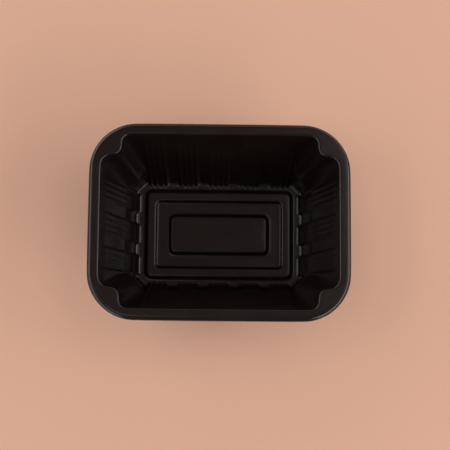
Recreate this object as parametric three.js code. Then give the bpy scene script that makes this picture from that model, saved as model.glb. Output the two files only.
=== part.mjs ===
// Sealing tray for a ready meal, thermoformed from one sheet of black polypropylene.
// A flange for the lidding film runs round the mouth and reaches inwards at each corner
// as a tab. Below every tab a post runs down to the chamfered corner of the foot. The
// walls between the posts are stiffened by groups of fine flutes with plain lobes between
// them, and the base is stepped inside the foot strip that the tray stands on.
//
// Units are millimetres. X runs along the tray, Y across it, Z up. The origin is the
// middle of the foot, on the surface that the tray stands on.

import * as THREE from 'three';

// ---- Driving dimensions ----------------------------------------------------------------

const SHEET = 0.5;                    // thickness of the formed sheet

const TRAY_LENGTH = 190;              // over the skirt of the flange
const TRAY_WIDTH = 144;
const TRAY_HEIGHT = 65;
const FLANGE_CORNER_RADIUS = 35;
const FLANGE_WIDTH = 8;               // hem of the skirt to the mouth
const SKIRT_DROP = 5;
const SKIRT_FLARE = 1.7;
const RIM_BEVEL = 0.8;

const MOUTH_STEP_DROP = 4;            // upright step just inside the mouth
const MOUTH_STEP_DRAFT = 0.7;
const LEDGE_WIDTH = 1.7;
const LEDGE_FALL = 0.6;

const FLUTE_START_HEIGHT = 55;        // the flutes fade in between these two heights
const FLUTE_FULL_HEIGHT = 50;
const WAIST_HEIGHT = 14;              // change of slope above the foot
const WAIST_INSET = 17.2;             // all insets are measured from the mouth
const WAIST_SHELF = 0.8;
const WAIST_SHELF_FALL = 0.5;
const HEEL_HEIGHT = 2.2;
const HEEL_INSET = 23.2;
const FOOT_INSET = 24;

const FLUTE_PITCH = 4.1;
const FLUTES_IN_GROUP = 4;
const GROUP_HALF_LENGTH = 7.8;
const LONG_WALL_GROUPS = 5;
const LONG_WALL_GROUP_PITCH = 23.1;
const SHORT_WALL_GROUPS = 3;
const SHORT_WALL_GROUP_PITCH = 23.8;
const FLUTE_FAN = 1.06;               // groups stand this much wider apart at the top
const FLUTE_RELIEF = 1;               // crest over groove
const GROUP_RELIEF_TOP = 0.4;         // grooves over the plain lobes beside them
const GROUP_RELIEF_FOOT = 1;

const STEP_UP_LENGTH = 113.6;         // foot strip to the raised ring of the base
const STEP_UP_WIDTH = 69.6;
const STEP_UP_RUN = 3;
const STEP_UP_RISE = 2;
const STEP_UP_RADIUS = 5.5;
const STEP_DOWN_LENGTH = 98;          // raised ring to the sunk panel
const STEP_DOWN_WIDTH = 53.6;
const STEP_DOWN_RUN = 2.4;
const STEP_DOWN_FALL = 1.2;
const STEP_DOWN_RADIUS = 3.4;
const PLAQUE_LENGTH = 76.4;           // low plain plaque in the middle of the base
const PLAQUE_WIDTH = 32.2;
const PLAQUE_RUN = 2.2;
const PLAQUE_RISE = 0.9;
const PLAQUE_RADIUS = 5;

const CURVE_STEPS_OUTER = 10;         // facets of one flange corner
const CURVE_STEPS_FILLET = 3;
const CURVE_STEPS_NOSE = 4;
const CURVE_STEPS_BASE = 4;
const FOOT_STRIP_STEP = 6;            // spacing of points along the foot strip

// ---- Corner of the mouth and of the walls ----------------------------------------------
// Points of one corner are (u, v): u back along the long wall from where the two walls
// would meet, v out from that wall. A corner is its own mirror image, u for v. The wall
// leaves its line at `start`, turns in a fillet round `bend` to `side`, and meets the
// post at `edge`. The post's face is a curve that is pulled towards `nose`.

const TAB = 15.3;
const TAB_FILLET = 9;
const TAB_ROUND = 6;
const TAB_AT_LEDGE = 13.4;
const POST_SIDE = 12.5;               // the post's side keeps this far from the corner
const POST_EDGE_TOP = [12.3, 8.3];
const POST_EDGE_WAIST = [10.5, 4.2];
const FOOT_CHAMFER = 7.4;

const mouthCorner = {
  start: [TAB + TAB_FILLET, 0], bend: [TAB, 0], side: [TAB, TAB_FILLET - 1.2],
  edge: [TAB, TAB - TAB_ROUND], nose: TAB,
};
const ledgeCorner = {
  start: [TAB_AT_LEDGE + 8, 0], bend: [TAB_AT_LEDGE, 0], side: [TAB_AT_LEDGE, 6],
  edge: [TAB_AT_LEDGE, 7.6], nose: TAB_AT_LEDGE - 0.2,
};
const shoulderCorner = {
  start: [POST_SIDE + 2.4, 0], bend: [POST_SIDE, 0], side: [POST_SIDE, 2.4],
  edge: POST_EDGE_TOP, nose: 11.4,
};
const waistCorner = {
  start: [POST_SIDE + 1.6, 0], bend: [POST_SIDE, 0], side: [POST_SIDE - 0.8, 1],
  edge: POST_EDGE_WAIST, nose: 7.8,
};
const shelfCorner = {                 // the post runs on past the shelf of the waist
  ...waistCorner,
  edge: POST_EDGE_WAIST.map((distance) => distance - WAIST_SHELF),
  nose: waistCorner.nose - WAIST_SHELF,
};
const footCorner = {
  start: [FOOT_CHAMFER + 0.8, 0], bend: [FOOT_CHAMFER + 0.6, 0], side: [FOOT_CHAMFER + 0.4, 0],
  edge: [FOOT_CHAMFER, 0], nose: FOOT_CHAMFER / 2,
};

const cornerAtHeight = [
  { z: TRAY_HEIGHT - MOUTH_STEP_DROP, corner: mouthCorner },
  { z: TRAY_HEIGHT - MOUTH_STEP_DROP - LEDGE_FALL, corner: ledgeCorner },
  { z: FLUTE_FULL_HEIGHT, corner: shoulderCorner },
  { z: WAIST_HEIGHT, corner: waistCorner },
  { z: WAIST_HEIGHT - WAIST_SHELF_FALL, corner: shelfCorner },
  { z: SHEET, corner: footCorner },
];

function mixCorners(a, b, share) {
  const mix = (p, q) => [THREE.MathUtils.lerp(p[0], q[0], share), THREE.MathUtils.lerp(p[1], q[1], share)];
  return {
    start: mix(a.start, b.start), bend: mix(a.bend, b.bend), side: mix(a.side, b.side),
    edge: mix(a.edge, b.edge), nose: THREE.MathUtils.lerp(a.nose, b.nose, share),
  };
}

function cornerAt(z) {
  const below = cornerAtHeight.findIndex((level) => level.z <= z);
  if (below === 0) return mouthCorner;
  if (below < 0) return footCorner;
  const upper = cornerAtHeight[below - 1];
  const lower = cornerAtHeight[below];
  return mixCorners(upper.corner, lower.corner, THREE.MathUtils.inverseLerp(upper.z, lower.z, z));
}

// From the long wall round the post to the short wall.
function cornerPoints(corner) {
  const swap = ([u, v]) => [v, u];
  const bezier = (a, b, c, steps) => new THREE.QuadraticBezierCurve(
    new THREE.Vector2(...a), new THREE.Vector2(...b), new THREE.Vector2(...c)).getPoints(steps);
  const { start, bend, side, edge, nose } = corner;
  return [
    ...bezier(start, bend, side, CURVE_STEPS_FILLET),
    ...bezier(edge, [nose, nose], swap(edge), CURVE_STEPS_NOSE),
    ...bezier(swap(side), swap(bend), swap(start), CURVE_STEPS_FILLET),
  ];
}

// ---- Flutes of a wall -------------------------------------------------------------------
// Points of one wall are (along, relief), from one end to the other: relief is how far the
// wall stands in from its plain lobes.

function wallPoints(groups, groupPitch, z) {
  const height = Math.min((z - SHEET) / (FLUTE_FULL_HEIGHT - SHEET), 1);
  const fan = THREE.MathUtils.lerp(1, FLUTE_FAN, height);
  const fadeIn = THREE.MathUtils.clamp(
    (FLUTE_START_HEIGHT - z) / (FLUTE_START_HEIGHT - FLUTE_FULL_HEIGHT), 0, 1);
  const groove = fadeIn * THREE.MathUtils.lerp(GROUP_RELIEF_FOOT, GROUP_RELIEF_TOP, height);
  const crest = groove + fadeIn * FLUTE_RELIEF;
  const halfPitch = FLUTE_PITCH / 2;
  const points = [];
  for (let group = 0; group < groups; group += 1) {
    const centre = (group - (groups - 1) / 2) * groupPitch;
    for (let step = -FLUTES_IN_GROUP; step <= FLUTES_IN_GROUP; step += 1) {
      const isEnd = Math.abs(step) === FLUTES_IN_GROUP;
      const offset = isEnd ? Math.sign(step) * GROUP_HALF_LENGTH : step * halfPitch;
      const relief = step % 2 !== 0 ? crest : groove;
      points.push([(centre + offset) * fan, isEnd ? 0 : relief]);
    }
  }
  return points;
}

// ---- Rings --------------------------------------------------------------------------------
// A ring is a closed list of THREE.Vector3, counter-clockwise from above.

const MOUTH_X = TRAY_LENGTH / 2 - FLANGE_WIDTH;
const MOUTH_Y = TRAY_WIDTH / 2 - FLANGE_WIDTH;

function wallRing(inset, z, fluted) {
  const x = MOUTH_X - inset;
  const y = MOUTH_Y - inset;
  const longToShort = cornerPoints(cornerAt(z));
  const shortToLong = [...longToShort].reverse();
  const corner = (points, signX, signY) =>
    points.map((p) => new THREE.Vector3(signX * (x - p.x), signY * (y - p.y), z));
  const longWall = (sign) => (fluted
    ? wallPoints(LONG_WALL_GROUPS, LONG_WALL_GROUP_PITCH, z)
      .map(([along, relief]) => new THREE.Vector3(-sign * along, sign * (y - relief), z)) : []);
  const shortWall = (sign) => (fluted
    ? wallPoints(SHORT_WALL_GROUPS, SHORT_WALL_GROUP_PITCH, z)
      .map(([along, relief]) => new THREE.Vector3(sign * (x - relief), sign * along, z)) : []);
  return [
    ...corner(shortToLong, 1, 1), ...longWall(1),
    ...corner(longToShort, -1, 1), ...shortWall(-1),
    ...corner(shortToLong, -1, -1), ...longWall(-1),
    ...corner(longToShort, 1, -1), ...shortWall(1),
  ];
}

// Rounded rectangle, with its straight sides divided into steps no longer than edgeStep.
function roundedRing(length, width, radius, curveSteps, z, edgeStep = Infinity) {
  const centres = [[1, 1], [-1, 1], [-1, -1], [1, -1]];
  const corners = centres.map(([signX, signY], quarter) => {
    const arc = new THREE.EllipseCurve(
      signX * (length / 2 - radius), signY * (width / 2 - radius), radius, radius,
      quarter * Math.PI / 2, (quarter + 1) * Math.PI / 2);
    return arc.getPoints(curveSteps);
  });
  const ring = [];
  corners.forEach((corner, quarter) => {
    ring.push(...corner);
    const from = corner[corner.length - 1];
    const to = corners[(quarter + 1) % 4][0];
    const steps = Math.ceil(from.distanceTo(to) / edgeStep) || 1;
    for (let step = 1; step < steps; step += 1) ring.push(from.clone().lerp(to, step / steps));
  });
  return ring.map((p) => new THREE.Vector3(p.x, p.y, z));
}

// ---- Section of the tray from the hem to the plaque --------------------------------------
// Each level is one ring of the upper side. `inset` and `z` are its place in the section.

const flangeLevel = (inset, z) => ({
  inset, z,
  ring: roundedRing(2 * (MOUTH_X - inset), 2 * (MOUTH_Y - inset),
    FLANGE_CORNER_RADIUS - FLANGE_WIDTH - inset, CURVE_STEPS_OUTER, z),
});
const smoothLevel = (inset, z) => ({ inset, z, ring: wallRing(inset, z, false) });
const flutedLevel = (inset, z) => ({ inset, z, ring: wallRing(inset, z, true) });
const baseLevel = (length, width, radius, z, edgeStep) => ({
  inset: MOUTH_X - length / 2, z, ring: roundedRing(length, width, radius, CURVE_STEPS_BASE, z, edgeStep),
});

const ledgeInset = MOUTH_STEP_DRAFT + LEDGE_WIDTH;
const ledgeHeight = TRAY_HEIGHT - MOUTH_STEP_DROP - LEDGE_FALL;
const wallInset = (z) => THREE.MathUtils.mapLinear(z, ledgeHeight, WAIST_HEIGHT, ledgeInset, WAIST_INSET);
const raisedHeight = SHEET + STEP_UP_RISE;
const panelHeight = raisedHeight - STEP_DOWN_FALL;
const plaqueHeight = panelHeight + PLAQUE_RISE;

const levels = [
  flangeLevel(-FLANGE_WIDTH, TRAY_HEIGHT - SKIRT_DROP),
  flangeLevel(-FLANGE_WIDTH + SKIRT_FLARE, TRAY_HEIGHT - RIM_BEVEL),
  flangeLevel(-FLANGE_WIDTH + SKIRT_FLARE + RIM_BEVEL, TRAY_HEIGHT),
  smoothLevel(0, TRAY_HEIGHT),
  smoothLevel(MOUTH_STEP_DRAFT, TRAY_HEIGHT - MOUTH_STEP_DROP),
  smoothLevel(ledgeInset, ledgeHeight),
  flutedLevel(wallInset(FLUTE_START_HEIGHT), FLUTE_START_HEIGHT),
  flutedLevel(wallInset(FLUTE_FULL_HEIGHT), FLUTE_FULL_HEIGHT),
  flutedLevel(WAIST_INSET, WAIST_HEIGHT),
  flutedLevel(WAIST_INSET + WAIST_SHELF, WAIST_HEIGHT - WAIST_SHELF_FALL),
  flutedLevel(HEEL_INSET, HEEL_HEIGHT),
  flutedLevel(FOOT_INSET, SHEET),
  baseLevel(STEP_UP_LENGTH, STEP_UP_WIDTH, STEP_UP_RADIUS, SHEET, FOOT_STRIP_STEP),
  baseLevel(STEP_UP_LENGTH - 2 * STEP_UP_RUN, STEP_UP_WIDTH - 2 * STEP_UP_RUN,
    STEP_UP_RADIUS - STEP_UP_RUN, raisedHeight),
  baseLevel(STEP_DOWN_LENGTH, STEP_DOWN_WIDTH, STEP_DOWN_RADIUS, raisedHeight),
  baseLevel(STEP_DOWN_LENGTH - 2 * STEP_DOWN_RUN, STEP_DOWN_WIDTH - 2 * STEP_DOWN_RUN,
    STEP_DOWN_RADIUS - STEP_DOWN_RUN, panelHeight),
  baseLevel(PLAQUE_LENGTH, PLAQUE_WIDTH, PLAQUE_RADIUS, panelHeight),
  baseLevel(PLAQUE_LENGTH - 2 * PLAQUE_RUN, PLAQUE_WIDTH - 2 * PLAQUE_RUN,
    PLAQUE_RADIUS - PLAQUE_RUN, plaqueHeight),
];

// ---- Underside ------------------------------------------------------------------------------
// The underside is the upper side moved out by the sheet's thickness, so that the sheet is
// equally thick on both sides of every bend.

// How far a bend between two directions moves, for each unit of thickness. The move is to
// the right of the direction of travel.
function bendMove(before, after) {
  const right = (d) => new THREE.Vector2(d.y, -d.x).normalize();
  const first = right(before);
  const second = right(after);
  return first.clone().add(second).divideScalar(1 + first.dot(second));
}

// Travelling in along the section with inset to the left, the underside is on the right.
function undersideMove(index) {
  const place = (level) => new THREE.Vector2(-level.inset, level.z);
  const here = place(levels[index]);
  const before = index > 0 ? here.clone().sub(place(levels[index - 1])) : null;
  const after = index < levels.length - 1
    ? place(levels[index + 1]).sub(here) : new THREE.Vector2(-1, 0);
  const move = bendMove(after, before ?? after).multiplyScalar(-SHEET);
  return { out: move.x, up: index > 0 ? move.y : 0 };
}

// A ring moved outwards in its own plane.
function grownRing(ring, distance, up) {
  const flat = (p) => new THREE.Vector2(p.x, p.y);
  return ring.map((point, index) => {
    const before = flat(point).sub(flat(ring[(index + ring.length - 1) % ring.length]));
    const after = flat(ring[(index + 1) % ring.length]).sub(flat(point));
    const move = bendMove(before, after).multiplyScalar(distance);
    return new THREE.Vector3(point.x + move.x, point.y + move.y, point.z + up);
  });
}

const upperRings = levels.map((level) => level.ring);
const underRings = levels.map((level, index) => {
  const { out, up } = undersideMove(index);
  return grownRing(level.ring, out, up);
});

// ---- Skin ---------------------------------------------------------------------------------

const positions = [];

function addTriangle(a, b, c, flipped) {
  const [first, second, third] = flipped ? [a, c, b] : [a, b, c];
  positions.push(...first.toArray(), ...second.toArray(), ...third.toArray());
}

// Joins two rings: point to point where they have as many, otherwise always by the shorter
// diagonal.
function addBand(outer, inner, flipped) {
  let i = 0;
  let j = 0;
  const at = (ring, index) => ring[index % ring.length];
  const matched = outer.length === inner.length;
  while (i < outer.length || j < inner.length) {
    const viaOuter = at(outer, i + 1).distanceTo(at(inner, j));
    const viaInner = at(outer, i).distanceTo(at(inner, j + 1));
    const outerIsNext = matched && i !== j ? i < j : viaOuter <= viaInner;
    if (j >= inner.length || (i < outer.length && outerIsNext)) {
      addTriangle(at(outer, i), at(outer, i + 1), at(inner, j), flipped);
      i += 1;
    } else {
      addTriangle(at(outer, i), at(inner, j + 1), at(inner, j), flipped);
      j += 1;
    }
  }
}

function addCap(ring, flipped) {
  for (let index = 1; index < ring.length - 1; index += 1) {
    addTriangle(ring[0], ring[index], ring[index + 1], flipped);
  }
}

function addSide(rings, flipped) {
  for (let index = 1; index < rings.length; index += 1) {
    addBand(rings[index - 1], rings[index], flipped);
  }
  addCap(rings[rings.length - 1], flipped);
}

addSide(upperRings, false);
addSide(underRings, true);
addBand(upperRings[0], underRings[0], true);

const trayGeometry = new THREE.BufferGeometry();
trayGeometry.setAttribute('position', new THREE.Float32BufferAttribute(positions, 3));
trayGeometry.computeVertexNormals();

const blackPlastic = new THREE.MeshStandardMaterial({ color: 0x171412, roughness: 0.38, metalness: 0 });

const tray = new THREE.Mesh(trayGeometry, blackPlastic);
tray.name = 'tray';

const container = new THREE.Group();
container.add(tray);

export default container;
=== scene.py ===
import math

import bmesh
import bpy
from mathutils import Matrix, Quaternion, Vector


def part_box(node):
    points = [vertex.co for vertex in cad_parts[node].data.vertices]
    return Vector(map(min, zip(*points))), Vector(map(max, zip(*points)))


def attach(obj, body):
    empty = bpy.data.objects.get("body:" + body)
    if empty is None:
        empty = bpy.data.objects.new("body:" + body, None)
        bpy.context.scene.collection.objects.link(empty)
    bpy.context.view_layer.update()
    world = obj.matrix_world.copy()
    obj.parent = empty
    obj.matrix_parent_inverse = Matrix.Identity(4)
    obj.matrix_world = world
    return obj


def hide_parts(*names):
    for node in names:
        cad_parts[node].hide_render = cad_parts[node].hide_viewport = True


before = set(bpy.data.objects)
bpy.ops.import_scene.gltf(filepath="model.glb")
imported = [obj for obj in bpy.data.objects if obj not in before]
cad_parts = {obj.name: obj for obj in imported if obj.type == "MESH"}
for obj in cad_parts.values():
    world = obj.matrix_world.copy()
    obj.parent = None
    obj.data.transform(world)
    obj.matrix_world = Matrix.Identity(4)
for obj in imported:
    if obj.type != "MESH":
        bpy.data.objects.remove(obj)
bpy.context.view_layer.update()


# The tray: one sheet of black polypropylene, heated and drawn down over a mould, so its form is
# the mould's: outlines at a few heights, joined by drafted walls. One quarter is made first,
# between the tray's two middle lines, and is then mirrored, thickened and smoothed.

MM = 0.001
NEAR = 0.02 * MM
SHEET = 0.5 * MM
HALF_LENGTH, HALF_WIDTH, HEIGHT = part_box("tray")[1]

# The walls turn over the mouth's rounded edge, go steeply down to the shoulder, lean in to the
# waist, and go on to the rounded foot. At each corner the flange's tab stands on a post, whose
# face widens on its way down to the foot's chamfer.

FLANGE_WIDTH = 8 * MM
MOUTH_LENGTH = HALF_LENGTH - FLANGE_WIDTH
MOUTH_WIDTH = HALF_WIDTH - FLANGE_WIDTH
SHOULDER_HEIGHT = 52 * MM
WAIST_HEIGHT = 22 * MM
FOOT_HEIGHT = SHEET

# the fillet on a post's side to the long wall, as a share of the one to the short wall
LONG_SIDE_FILLET = 0.75
FILLET_SEGMENTS = 3
POST_SEGMENTS = 4

# height, inset from the mouth, post's side from the corner, fillet beside the post,
# reach of the post's rounded face, its shift towards the corner, its fullness
WALL_OUTLINES = [
    (HEIGHT, -1.5 * MM, 15.3 * MM, 9.0 * MM, 4.5 * MM, 0, 0.5),
    (HEIGHT, -0.7 * MM, 15.3 * MM, 8.2 * MM, 5.3 * MM, 0, 0.5),
    (HEIGHT - 0.36 * MM, 0.2 * MM, 15.3 * MM, 7.5 * MM, 6.2 * MM, 0, 0.5),
    (HEIGHT - 1.4 * MM, 0.75 * MM, 15.1 * MM, 7.1 * MM, 6.5 * MM, 0, 0.5),
    (HEIGHT - 6 * MM, 1.5 * MM, 14.6 * MM, 6.8 * MM, 6.0 * MM, 0, 0.5),
    (SHOULDER_HEIGHT, 3.1 * MM, 13.8 * MM, 6.2 * MM, 4.8 * MM, 0.1 * MM, 0.5),
    (WAIST_HEIGHT, 15.9 * MM, 13.0 * MM, 4.8 * MM, 4.2 * MM, 1.6 * MM, 0.45),
    (WAIST_HEIGHT - 0.8 * MM, 16.3 * MM, 13.0 * MM, 4.6 * MM, 4.4 * MM, 1.8 * MM, 0.42),
    (FOOT_HEIGHT + 4.5 * MM, 21.6 * MM, 9.7 * MM, 1.8 * MM, 6.9 * MM, 1.2 * MM, 0.29),
    (FOOT_HEIGHT + 2.8 * MM, 22.3 * MM, 8.9 * MM, 1.0 * MM, 7.2 * MM, 0.8 * MM, 0.26),
    (FOOT_HEIGHT + 1.35 * MM, 23.4 * MM, 8.0 * MM, 0.6 * MM, 6.9 * MM, 0.6 * MM, 0.25),
    (FOOT_HEIGHT + 0.62 * MM, 24.35 * MM, 7.3 * MM, 0.4 * MM, 6.6 * MM, 0.5 * MM, 0.25),
    (FOOT_HEIGHT + 0.16 * MM, 25.45 * MM, 6.6 * MM, 0.3 * MM, 6.1 * MM, 0.4 * MM, 0.25),
    (FOOT_HEIGHT, 26.6 * MM, 5.9 * MM, 0.2 * MM, 5.5 * MM, 0.3 * MM, 0.25),
]


def pick(where, kind="verts"):
    """Selects the points or faces at whose middle where(place) is true, and no others."""
    bpy.ops.mesh.select_all(action="DESELECT")
    bpy.ops.mesh.select_mode(type={"verts": "VERT", "faces": "FACE"}[kind])
    skin = bmesh.from_edit_mesh(bpy.context.edit_object.data)
    for element in getattr(skin, kind):
        if kind == "verts":
            place = element.co
        else:
            place = sum((v.co for v in element.verts), Vector()) / len(element.verts)
        if where(place):
            element.select_set(True)
    skin.select_flush_mode()
    bmesh.update_edit_mesh(bpy.context.edit_object.data)


def quarter_plate(half_length, half_width, z):
    """A flat quarter plate in edit mode, from the tray's middle lines out to its half sizes."""
    bpy.ops.object.select_all(action="DESELECT")
    bpy.ops.mesh.primitive_plane_add(size=1, location=(half_length / 2, half_width / 2, z))
    bpy.context.object.scale = (half_length, half_width, 1)
    bpy.ops.object.transform_apply(location=True, scale=True)
    bpy.ops.object.mode_set(mode="EDIT")
    return bpy.context.object


def round_corner(x, y, reach, segments, fullness=0.5):
    """Rounds the plate's corner that stands at x, y."""
    pick(lambda p: abs(p.x - x) < NEAR and abs(p.y - y) < NEAR)
    bpy.ops.mesh.bevel(
        offset=reach, offset_type="ABSOLUTE", affect="VERTICES", segments=segments, profile=fullness
    )


def keep_outline():
    """Leaves only the plate's outer edge, from one middle line to the other."""
    bpy.ops.mesh.select_all(action="SELECT")
    bpy.ops.mesh.delete(type="ONLY_FACE")
    pick(lambda p: p.xy.length < NEAR)
    bpy.ops.mesh.delete(type="VERT")
    bpy.ops.object.mode_set(mode="OBJECT")


def wall_outline(z, inset, side, fillet, reach, shift, fullness):
    """The mould's outline at one height, with the post standing in from the corner."""
    x = MOUTH_LENGTH - inset
    y = MOUTH_WIDTH - inset

    def left_by_cut(place):
        on_long_middle = abs(place.x) < NEAR and abs(place.y - y + side) < NEAR
        on_short_middle = abs(place.y) < NEAR and abs(place.x - x + side) < NEAR
        return on_long_middle or on_short_middle

    def on_post_face(place):
        on_post = place.x > x - side - NEAR and place.y > y - side - NEAR
        return on_post and x - place.x + y - place.y > 2 * side - reach - NEAR

    plate = quarter_plate(x, y, z)
    bpy.ops.mesh.select_all(action="SELECT")
    bpy.ops.mesh.bisect(plane_co=(x - side, 0, 0), plane_no=(1, 0, 0))
    bpy.ops.mesh.select_all(action="SELECT")
    bpy.ops.mesh.bisect(plane_co=(0, y - side, 0), plane_no=(0, 1, 0))
    pick(lambda p: p.x > x - side and p.y > y - side, "faces")
    bpy.ops.mesh.delete(type="FACE")
    bpy.ops.mesh.select_all(action="SELECT")
    bpy.ops.mesh.dissolve_faces()
    pick(left_by_cut)
    bpy.ops.mesh.dissolve_verts()
    round_corner(x - side, y, fillet * LONG_SIDE_FILLET, FILLET_SEGMENTS)
    round_corner(x, y - side, fillet, FILLET_SEGMENTS)
    round_corner(x - side, y - side, reach, POST_SEGMENTS, fullness)
    if shift:
        pick(on_post_face)
        bpy.ops.transform.translate(value=(shift, shift, 0))
    keep_outline()
    return plate


def bridge(skin, other, points):
    """Joins other to skin and bridges the two chains that those points of the joined mesh make up."""
    bpy.ops.object.select_all(action="DESELECT")
    other.select_set(True)
    skin.select_set(True)
    bpy.context.view_layer.objects.active = skin
    bpy.ops.object.join()
    bpy.ops.object.mode_set(mode="EDIT")
    bpy.ops.mesh.select_all(action="DESELECT")
    bpy.ops.mesh.select_mode(type="VERT")
    mesh = bmesh.from_edit_mesh(skin.data)
    mesh.verts.ensure_lookup_table()
    for index in points:
        mesh.verts[index].select_set(True)
    mesh.select_flush(True)
    bmesh.update_edit_mesh(skin.data)
    bpy.ops.mesh.bridge_edge_loops()
    bpy.ops.object.mode_set(mode="OBJECT")


def loft(outlines):
    """Joins outlines of as many points each, bridging each one to the one before it."""
    skin = outlines[0]
    count = len(skin.data.vertices)
    for outline in outlines[1:]:
        before = len(skin.data.vertices)
        bridge(skin, outline, range(before - count, before + len(outline.data.vertices)))
    return skin


tray = loft([wall_outline(*sizes) for sizes in WALL_OUTLINES])
tray.name = "tray_sheet"

# Rows of points between the outlines, at these heights in millimetres. They are closer together
# where the flutes start and at the waist.
WALL_ROWS = [62, 60, 58, 56, 54, 50, 46, 40, 33, 27, 25, 23.6, 20.2, 17, 13, 8, 4]

bpy.ops.object.mode_set(mode="EDIT")
for row in WALL_ROWS:
    bpy.ops.mesh.select_all(action="SELECT")
    bpy.ops.mesh.bisect(plane_co=(0, 0, row * MM), plane_no=(0, 0, 1))


# The flutes: groups of four upright creases pressed into each wall, which stiffen it. Between
# the groups the wall keeps a plain lobe. The groups fan out a little towards the mouth.

FLUTE_PITCH = 4.1 * MM
CREASE_WIDTH = 1.1 * MM
GROUP_END = 7.8 * MM
LONG_WALL_GROUPS = [0, 23.1 * MM, 46.2 * MM]
SHORT_WALL_GROUPS = [0, 23.8 * MM]
LOBE_MIDDLE = 2.1 * MM
FAN = 1.06

# the creases to one side of a group's middle, and the places midway between creases
CREASES = [FLUTE_PITCH / 2, 3 * FLUTE_PITCH / 2]
BETWEEN_CREASES = [0, FLUTE_PITCH]

# a wall's own points reach this far in from its outermost one, and this far past the middle of
# its last group
WALL_DEPTH = GROUP_END
LAST_GROUP_REACH = GROUP_END * 1.1

# places in metres are rounded to the micrometre, so that none is taken twice
DECIMALS = 6

# height, how far a group of the long walls is pressed in, and its creases more than that,
# and the same for the short walls, whose creases fade out at the waist
RELIEF = [
    (60.0 * MM, 0, 0, 0, 0),
    (58.0 * MM, 0.05 * MM, 0.25 * MM, 0.05 * MM, 0.35 * MM),
    (54.0 * MM, 0.1 * MM, 0.55 * MM, 0.1 * MM, 0.75 * MM),
    (23.6 * MM, 0.3 * MM, 0.65 * MM, 0.5 * MM, 0.75 * MM),
    (20.2 * MM, 0.35 * MM, 0.7 * MM, 0.7 * MM, 0.1 * MM),
    (5.0 * MM, 0.7 * MM, 1.2 * MM, 1.9 * MM, 0.05 * MM),
    (3.3 * MM, 0.8 * MM, 1.4 * MM, 2.4 * MM, 0),
    (1.8 * MM, 0.75 * MM, 1.4 * MM, 2.3 * MM, 0),
    (0.6 * MM, 0.6 * MM, 1.3 * MM, 1.9 * MM, 0),
    (FOOT_HEIGHT, 0.5 * MM, 1.2 * MM, 1.5 * MM, 0),
]

# the axis that a wall runs along, its groups, and the column of its groups in RELIEF, which
# its creases' column follows
WALLS = [(0, LONG_WALL_GROUPS, 1), (1, SHORT_WALL_GROUPS, 3)]


def group_cuts(groups):
    """Where a wall is cut for its flutes and lobes, along its foot from the middle of the wall."""
    offsets = [-GROUP_END, GROUP_END]
    for side in (-1, 1):
        offsets += [side * middle for middle in BETWEEN_CREASES]
        offsets += [side * (crease - CREASE_WIDTH / 2) for crease in CREASES]
        offsets += [side * (crease + CREASE_WIDTH / 2) for crease in CREASES]
    cuts = [group + offset for group in groups for offset in offsets]
    for group, next_group in zip(groups, groups[1:]):
        lobe = (group + next_group) / 2
        cuts += [lobe - LOBE_MIDDLE, lobe, lobe + LOBE_MIDDLE]
    return sorted({round(cut, DECIMALS) for cut in cuts if cut > NEAR})


def spread(z):
    """How much wider apart the flutes stand at a height than at the foot."""
    return 1 + (FAN - 1) * (z - FOOT_HEIGHT) / (SHOULDER_HEIGHT - FOOT_HEIGHT)


def from_group(along, z, groups):
    """How far a place along a wall is from the middle of the nearest group, as measured at the foot."""
    return min(abs(along / spread(z) - group) for group in groups)


def relief_at(z, column):
    """The relief at a height, between the heights that RELIEF names."""
    for above, below in zip(RELIEF, RELIEF[1:]):
        if below[0] - NEAR <= z <= above[0]:
            part = (above[0] - z) / (above[0] - below[0])
            return above[column] + (below[column] - above[column]) * part
    return 0


def press_in(axis, groups, z, wall, creases_only, amount):
    """Presses one row of a wall's points inwards, over its groups or over their creases alone."""
    last = groups[-1] * spread(z) + LAST_GROUP_REACH

    def on_row(place):
        along, across = place[axis], place[1 - axis]
        offset = from_group(along, z, groups)
        on_wall = abs(place.z - z) < NEAR and across > wall - WALL_DEPTH and along < last
        on_crease = min(abs(offset - crease) for crease in CREASES) < CREASE_WIDTH
        return on_wall and offset < GROUP_END - NEAR and (on_crease or not creases_only)

    pick(on_row)
    inwards = Vector((0, 0, 0))
    inwards[1 - axis] = -amount
    bpy.ops.transform.translate(value=inwards)


for axis, groups, _ in WALLS:
    for cut in group_cuts(groups):
        lean = cut * (FAN - 1) / (SHOULDER_HEIGHT - FOOT_HEIGHT)
        point = Vector((0, 0, FOOT_HEIGHT))
        point[axis] = cut
        normal = Vector((0, 0, -lean))
        normal[axis] = 1
        bpy.ops.mesh.select_all(action="SELECT")
        bpy.ops.mesh.bisect(plane_co=point, plane_no=normal.normalized())

heights = [p.co.z for p in bmesh.from_edit_mesh(tray.data).verts if p.co.z < RELIEF[0][0] - NEAR]
for z in sorted({round(height, DECIMALS) for height in heights}):
    for axis, groups, column in WALLS:
        row_points = [p.co for p in bmesh.from_edit_mesh(tray.data).verts if abs(p.co.z - z) < NEAR]
        wall = max(point[1 - axis] for point in row_points)
        press_in(axis, groups, z, wall, True, relief_at(z, column + 1))
        press_in(axis, groups, z, wall, False, relief_at(z, column))
bpy.ops.object.mode_set(mode="OBJECT")


# The flange: the flat land that the film is sealed to, and outside it a small rounding, a slope
# and an upright skirt, which stiffen the tray's edge.

RIM_CORNER = 35 * MM
RIM_ROUND = 2.9 * MM
RIM_SLOPE = math.radians(46)
RIM_SLOPE_WIDTH = 1.05 * MM
RIM_WIDTH = RIM_SLOPE_WIDTH + RIM_ROUND * math.sin(RIM_SLOPE)
SKIRT_DEPTH = 5 * MM
FLANGE_SEGMENTS = 10

# rows of points close to an edge, which keep it crisp when the sheet is smoothed
HEM_DEPTH = 4.6 * MM
RIM_BEND = 0.25 * MM
LAND_MARGIN = 0.8 * MM

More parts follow.
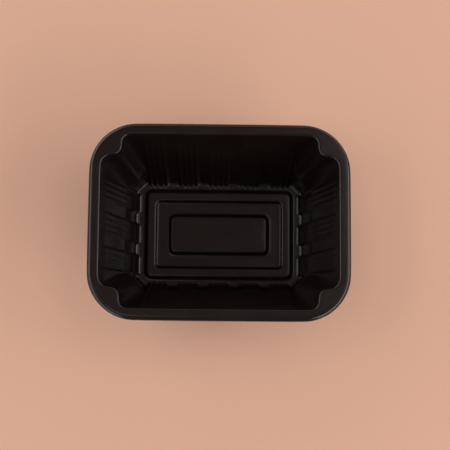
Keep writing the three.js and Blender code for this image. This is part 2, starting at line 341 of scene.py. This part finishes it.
# inset from the flange's edge and drop below its land, from the slope's top to the land
rim_steps = []
for part in (1, 0.75, 0.5, 0.25, 0):
    angle = RIM_SLOPE * part
    rim_steps.append((RIM_WIDTH - RIM_ROUND * math.sin(angle), RIM_ROUND * (1 - math.cos(angle))))
rim_drop = rim_steps[0][1] + rim_steps[0][0] * math.tan(RIM_SLOPE)

# the same, from the skirt's lower edge
flange_steps = [
    (0, SKIRT_DEPTH),
    (0, HEM_DEPTH),
    (0, rim_drop + RIM_BEND),
    (0, rim_drop),
    (RIM_BEND, rim_drop - RIM_BEND * math.tan(RIM_SLOPE)),
    *rim_steps,
    (RIM_WIDTH + LAND_MARGIN, 0),
]
FLANGE_OUTLINES = [
    (HALF_LENGTH - inset, HALF_WIDTH - inset, RIM_CORNER - inset, HEIGHT - drop)
    for inset, drop in flange_steps
]


def rounded_outline(half_length, half_width, radius, z, segments):
    """A quarter of a rounded rectangle's outline at one height."""
    plate = quarter_plate(half_length, half_width, z)
    round_corner(half_length, half_width, radius, segments)
    keep_outline()
    return plate


flange = loft([rounded_outline(*sizes, FLANGE_SEGMENTS) for sizes in FLANGE_OUTLINES])


# The base: the strip that the tray stands on, and inside it a raised ring, a sunk panel and a
# plain plaque, with a rounded step between each of them and the next.

RAISED = FOOT_HEIGHT + 2.4 * MM
PANEL = RAISED - 2.3 * MM
PLAQUE = PANEL + 2.6 * MM
STEP_BENDS = (0, 0.35, 0.7, 1)
BASE_SEGMENTS = 6

# half length, half width and corner at the step's outer edge, the heights outside and inside
# it, the rounding at its two edges, and its steepness in degrees
BASE_STEPS = [
    (57.5 * MM, 35.6 * MM, 6.8 * MM, FOOT_HEIGHT, RAISED, 2.3 * MM, 47),
    (49.4 * MM, 27.2 * MM, 4.8 * MM, RAISED, PANEL, 1.7 * MM, 58),
    (39.3 * MM, 16.8 * MM, 6.2 * MM, PANEL, PLAQUE, 2.2 * MM, 49),
]


def step(half_length, half_width, corner, outer_height, inner_height, rounding, steepness):
    """Outlines of a step in the base, from its outer edge inwards."""
    steep = math.radians(steepness)
    rise = inner_height - outer_height
    slope = (abs(rise) - 2 * rounding * (1 - math.cos(steep))) / math.tan(steep)
    width = 2 * rounding * math.sin(steep) + slope
    bend = []
    for part in STEP_BENDS:
        angle = steep * part
        climb = math.copysign(rounding * (1 - math.cos(angle)), rise)
        bend.append((rounding * math.sin(angle), climb))
    profile = bend + [(width - inset, rise - climb) for inset, climb in reversed(bend)]
    return [
        (half_length - inset, half_width - inset, corner - inset, outer_height + climb)
        for inset, climb in profile
    ]


base_outlines = [sizes for base_step in BASE_STEPS for sizes in step(*base_step)]
base = loft([rounded_outline(*sizes, BASE_SEGMENTS) for sizes in base_outlines])


# The whole sheet: walls, flange and base are joined and mirrored, and the flat strips between
# them are filled. What was drawn is the tray's inside, so the thickness goes on its outside.

bpy.ops.object.select_all(action="DESELECT")
for part in (flange, base, tray):
    part.select_set(True)
bpy.context.view_layer.objects.active = tray
bpy.ops.object.join()


def apply_modifier(kind, **settings):
    """Gives the tray one modifier, with those settings, and applies it."""
    bpy.ops.object.select_all(action="DESELECT")
    tray.select_set(True)
    bpy.context.view_layer.objects.active = tray
    modifier = tray.modifiers.new(kind.lower(), kind)
    for name, value in settings.items():
        setattr(modifier, name, value)
    bpy.ops.object.modifier_apply(modifier=modifier.name)


apply_modifier("MIRROR", use_axis=(True, True, False), use_mirror_merge=True, merge_threshold=NEAR)
bpy.ops.object.mode_set(mode="EDIT")
bpy.ops.mesh.select_all(action="SELECT")
bpy.ops.mesh.remove_doubles(threshold=NEAR)
for z in (HEIGHT, FOOT_HEIGHT, PLAQUE):
    bpy.ops.mesh.select_all(action="DESELECT")
    bpy.ops.mesh.select_mode(type="EDGE")
    mesh = bmesh.from_edit_mesh(tray.data)
    for edge in mesh.edges:
        if edge.is_boundary and all(abs(v.co.z - z) < NEAR for v in edge.verts):
            edge.select_set(True)
    bmesh.update_edit_mesh(tray.data)
    bpy.ops.mesh.fill(use_beauty=True)
bpy.ops.mesh.select_all(action="SELECT")
bpy.ops.mesh.normals_make_consistent(inside=False)
bpy.ops.object.mode_set(mode="OBJECT")
widest_face = max(tray.data.polygons, key=lambda face: face.area)
if widest_face.normal.z < 0:
    tray.data.flip_normals()
apply_modifier("SOLIDIFY", thickness=SHEET, offset=-1, use_even_offset=True, use_quality_normals=True)
apply_modifier("SUBSURF", levels=1, render_levels=1)
bpy.ops.object.shade_smooth()


# Black polypropylene: a satin skin, a little uneven from the heating and stretching of the
# sheet, with the fine lines that the extruder's lips leave along it.

DARK_PIGMENT = (0.0072, 0.0039, 0.0033, 1)
LIGHT_PIGMENT = (0.0090, 0.0051, 0.0043, 1)
PLASTIC_IOR = 1.5
RAMP_START = 0.3
RAMP_END = 0.7

plastic = bpy.data.materials.new("black_polypropylene")
plastic.use_nodes = True
nodes = plastic.node_tree.nodes
links = plastic.node_tree.links
shader = nodes["Principled BSDF"]
shader.inputs["IOR"].default_value = PLASTIC_IOR
coordinates = nodes.new("ShaderNodeTexCoord")


def noise(name, spots_per_metre, detail, stretch=(1, 1, 1)):
    """A noise over the sheet, finer along the axes that stretch multiplies."""
    mapping = nodes.new("ShaderNodeMapping")
    mapping.name = name + "_mapping"
    mapping.inputs["Scale"].default_value = stretch
    spots = nodes.new("ShaderNodeTexNoise")
    spots.name = name
    spots.inputs["Scale"].default_value = spots_per_metre
    spots.inputs["Detail"].default_value = detail
    links.new(coordinates.outputs["Object"], mapping.inputs["Vector"])
    links.new(mapping.outputs["Vector"], spots.inputs["Vector"])
    return spots.outputs["Fac"]


def ramp(name, fac, low_colour, high_colour):
    """A ramp from one colour to the other over the middle of a noise's range."""
    shades = nodes.new("ShaderNodeValToRGB")
    shades.name = name
    shades.color_ramp.elements[0].position = RAMP_START
    shades.color_ramp.elements[0].color = low_colour
    shades.color_ramp.elements[1].position = RAMP_END
    shades.color_ramp.elements[1].color = high_colour
    links.new(fac, shades.inputs["Fac"])
    return shades.outputs["Color"]


def roughness_ramp(name, fac, smoothest, roughest):
    """A ramp from one roughness to the other."""
    low, high = [(value, value, value, 1) for value in (smoothest, roughest)]
    return ramp(name, fac, low, high)


def bump(name, height, strength, distance, under=None):
    """A bump of that height, over the one that lies under it."""
    relief = nodes.new("ShaderNodeBump")
    relief.name = name
    relief.inputs["Strength"].default_value = strength
    relief.inputs["Distance"].default_value = distance
    links.new(height, relief.inputs["Height"])
    if under:
        links.new(under, relief.inputs["Normal"])
    return relief.outputs["Normal"]


clouds = noise("stretch_clouds", spots_per_metre=45, detail=3)
lines = noise("extruder_lines", spots_per_metre=30, detail=4, stretch=(22, 0.6, 0.6))
grain = noise("mould_grain", spots_per_metre=1400, detail=2)
dents = noise("soft_dents", spots_per_metre=160, detail=2)

links.new(ramp("pigment", clouds, DARK_PIGMENT, LIGHT_PIGMENT), shader.inputs["Base Color"])
rough_clouds = roughness_ramp("rough_clouds", clouds, smoothest=0.18, roughest=0.25)
rough_lines = roughness_ramp("rough_lines", lines, smoothest=-0.02, roughest=0.03)
roughness = nodes.new("ShaderNodeMath")
roughness.operation = "ADD"
links.new(rough_clouds, roughness.inputs[0])
links.new(rough_lines, roughness.inputs[1])
links.new(roughness.outputs["Value"], shader.inputs["Roughness"])

dented = bump("dent_relief", dents, strength=0.1, distance=0.12 * MM)
lined = bump("line_relief", lines, strength=0.3, distance=0.05 * MM, under=dented)
grained = bump("grain_relief", grain, strength=0.06, distance=0.02 * MM, under=lined)
links.new(grained, shader.inputs["Normal"])
tray.data.materials.append(plastic)

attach(tray, "root")
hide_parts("tray")


# The stage: a wide sheet of plain peach paper that the tray stands on, soft boxes all round it,
# and a faint even fill. None of it belongs to the tray. Its sizes are in metres.

FLOOR_SIZE = 8
PAPER_COLOUR = (0.88, 0.515, 0.365, 1)
PAPER_ROUGHNESS = 0.9

bpy.ops.object.select_all(action="DESELECT")
bpy.ops.mesh.primitive_plane_add(size=FLOOR_SIZE)
floor = bpy.context.object
floor.name = "floor"
paper = bpy.data.materials.new("peach_paper")
paper.use_nodes = True
paper_shader = paper.node_tree.nodes["Principled BSDF"]
paper_shader.inputs["Base Color"].default_value = PAPER_COLOUR
paper_shader.inputs["Roughness"].default_value = PAPER_ROUGHNESS
floor.data.materials.append(paper)

LIGHT_DISTANCE = 1.5
BOUNCE_COLOUR = (1, 0.6, 0.55)
FILL_COLOUR = (1, 0.85, 0.75, 1)
FILL_STRENGTH = 0.12

# the direction that each box stands in, its width and its lowest and highest edge, all in
# degrees as seen from the tray, and its brightness
SOFT_BOXES = [
    ("right_box", 0, 45, 12, 44, 2.8),
    ("high_box", 25, 60, 57, 75, 0.85),
    ("front_box", 315, 45, 12, 36, 3.8),
    ("left_box", 180, 45, 13, 36, 2.5),
    ("left_high_box", 180, 45, 46, 56, 2.2),
    ("back_box", 90, 45, 16, 34, 0.9),
    ("top_box", 225, 45, 68, 80, 1.9),
    ("low_box_45", 45, 45, 6, 26, 1.8),
    ("low_box_135", 135, 45, 6, 26, 3.4),
    ("low_box_225", 225, 45, 6, 26, 2.3),
]
PEACH_BOUNCE = ("peach_bounce", 90, 130, 68, 88, 0.11)


def soft_box(name, direction, width, lowest, highest, brightness):
    """A soft box that faces the tray."""
    middle = math.radians((lowest + highest) / 2)
    turn = math.radians(direction)
    ray = Vector((math.cos(turn) * math.cos(middle), math.sin(turn) * math.cos(middle), math.sin(middle)))
    bpy.ops.object.light_add(type="AREA", location=ray * LIGHT_DISTANCE)
    light = bpy.context.object
    light.name = name
    light.rotation_euler = (-ray).to_track_quat("-Z", "Y").to_euler()
    light.data.shape = "RECTANGLE"
    light.data.size = 2 * LIGHT_DISTANCE * math.cos(middle) * math.tan(math.radians(width / 2))
    light.data.size_y = 2 * LIGHT_DISTANCE * math.tan(math.radians((highest - lowest) / 2))
    light.data.energy = brightness * math.pi * light.data.size * light.data.size_y
    return light


for box in SOFT_BOXES:
    soft_box(*box)
soft_box(*PEACH_BOUNCE).data.color = BOUNCE_COLOUR

studio = bpy.data.worlds.new("studio")
bpy.context.scene.world = studio
studio.use_nodes = True
fill = studio.node_tree.nodes["Background"]
fill.inputs["Color"].default_value = FILL_COLOUR
fill.inputs["Strength"].default_value = FILL_STRENGTH
bpy.context.scene.view_settings.view_transform = "Standard"


# The camera: a long lens that looks down on the tray from a little in front of it, turned a
# little about its own line of sight. It stands DISTANCE metres from the place it aims at.

AIM = Vector((4.7, 7.95, 0)) * MM
AZIMUTH = math.radians(3.96)
ELEVATION = math.radians(80.54)
ROLL = math.radians(4.524)
DISTANCE = 1.059
FOCAL_LENGTH_MM = 110.4

level = math.cos(ELEVATION)
sight = Vector((math.sin(AZIMUTH) * level, math.cos(AZIMUTH) * level, -math.sin(ELEVATION)))
camera_data = bpy.data.cameras.new("camera")
camera = bpy.data.objects.new("camera", camera_data)
bpy.context.scene.collection.objects.link(camera)
camera.location = AIM - sight * DISTANCE
camera.rotation_mode = "QUATERNION"
camera.rotation_quaternion = sight.to_track_quat("-Z", "Y") @ Quaternion((0, 0, 1), ROLL)
camera_data.lens = FOCAL_LENGTH_MM
bpy.context.scene.camera = camera
